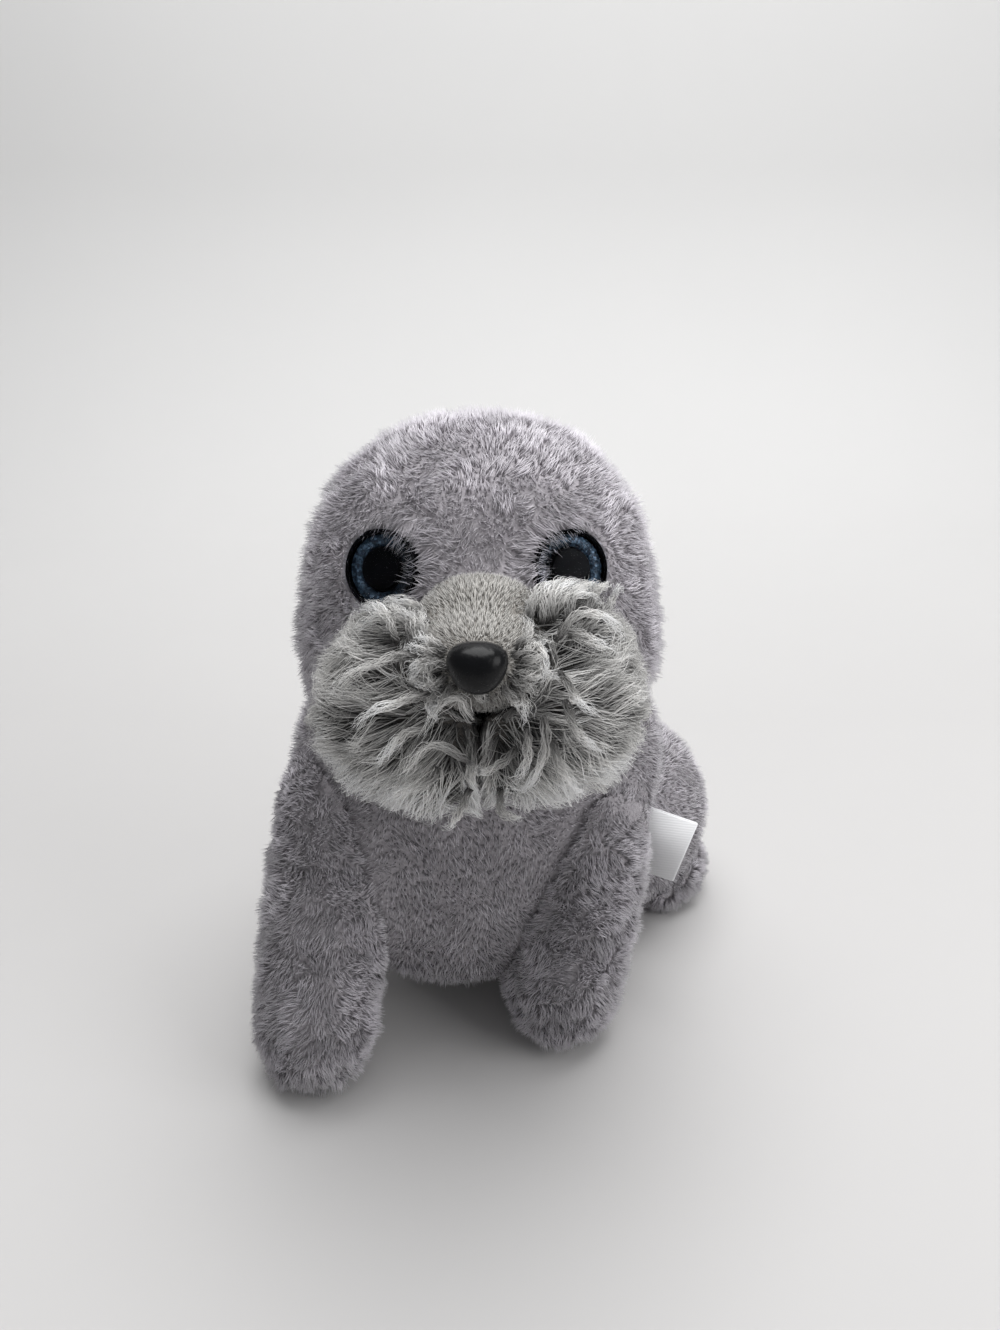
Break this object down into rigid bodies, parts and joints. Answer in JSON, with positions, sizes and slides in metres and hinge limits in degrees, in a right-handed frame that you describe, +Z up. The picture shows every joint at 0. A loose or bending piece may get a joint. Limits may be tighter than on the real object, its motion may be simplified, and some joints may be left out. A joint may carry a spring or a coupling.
{
  "type": "plush seal",
  "caption": "Small sitting plush seal with short grey pile, a long-haired moustache, domed plastic eyes, a moulded nose and a blank sewn-in label.",
  "frame": {"origin": "middle of the bounding box's base, on the surface that the seal sits on", "axes": "the face looks along -Y, +Z is up, and +X is the seal's own left side"},
  "size_m": [0.12, 0.1395, 0.1484],
  "materials": {
    "plush_grey": "short soft pile in small clumps, matt",
    "snout_plush": "very short pile, matt",
    "moustache_pile": "long wavy locks, dark at the roots and pale at the tips",
    "plastic_black": "moulded, satin",
    "iris_blue": "glitter paint",
    "lens_clear": "clear, polished",
    "washer_white": "plain moulded",
    "ribbon_white": "satin ribbon, blank"
  },
  "bodies": {
    "root": {"head": "plush_grey", "torso": "plush_grey", "front_flipper_left": "plush_grey", "front_flipper_right": "plush_grey", "hind_flipper_left": "plush_grey", "hind_flipper_right": "plush_grey", "snout": "snout_plush", "moustache_left": "moustache_pile", "moustache_right": "moustache_pile", "nose": "plastic_black", "nose_washer": "washer_white", "eye_base_left": "plastic_black", "eye_base_right": "plastic_black", "eye_iris_left": "iris_blue", "eye_iris_right": "iris_blue", "eye_lens_left": "lens_clear", "eye_lens_right": "lens_clear", "eye_washer_left": "washer_white", "eye_washer_right": "washer_white", "label": "ribbon_white"}
  },
  "joints": []
}
